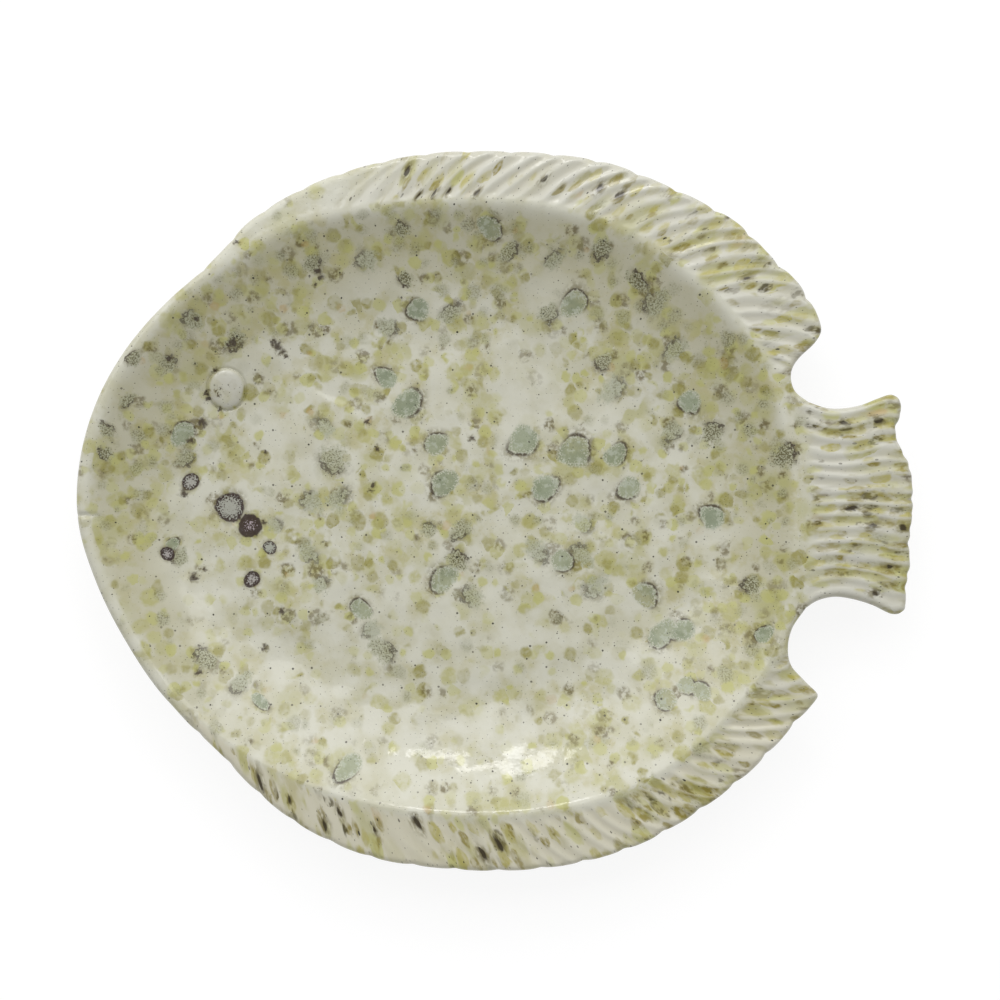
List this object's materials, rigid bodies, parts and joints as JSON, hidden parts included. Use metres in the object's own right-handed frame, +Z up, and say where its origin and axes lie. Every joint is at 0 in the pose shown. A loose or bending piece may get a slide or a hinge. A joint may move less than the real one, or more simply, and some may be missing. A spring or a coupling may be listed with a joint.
{
  "type": "fish tray",
  "caption": "Shallow stoneware serving tray shaped like a flatfish, with a dished oval basin, ribbed fin and tail flanges, a domed eye, a gill cover and a flat foot ring.",
  "frame": {"origin": "on the table, under the middle of the tray's overall length and width", "axes": "+X from the head to the tail, +Y toward the dorsal fin, +Z up out of the basin"},
  "size_m": [0.3601, 0.3099, 0.0324],
  "materials": {
    "speckled_glaze": "glossy pale grey cream reactive glaze with olive and celadon spots and fine dark specks",
    "bare_clay": "dry, wiped, unglazed buff stoneware"
  },
  "bodies": {
    "root": {"basin": "speckled_glaze", "head_rim": "speckled_glaze", "dorsal_fin": "speckled_glaze", "anal_fin": "speckled_glaze", "tail_fin": "speckled_glaze", "eye": "speckled_glaze", "gill_cover": "speckled_glaze", "foot_ring": "bare_clay"}
  },
  "joints": []
}
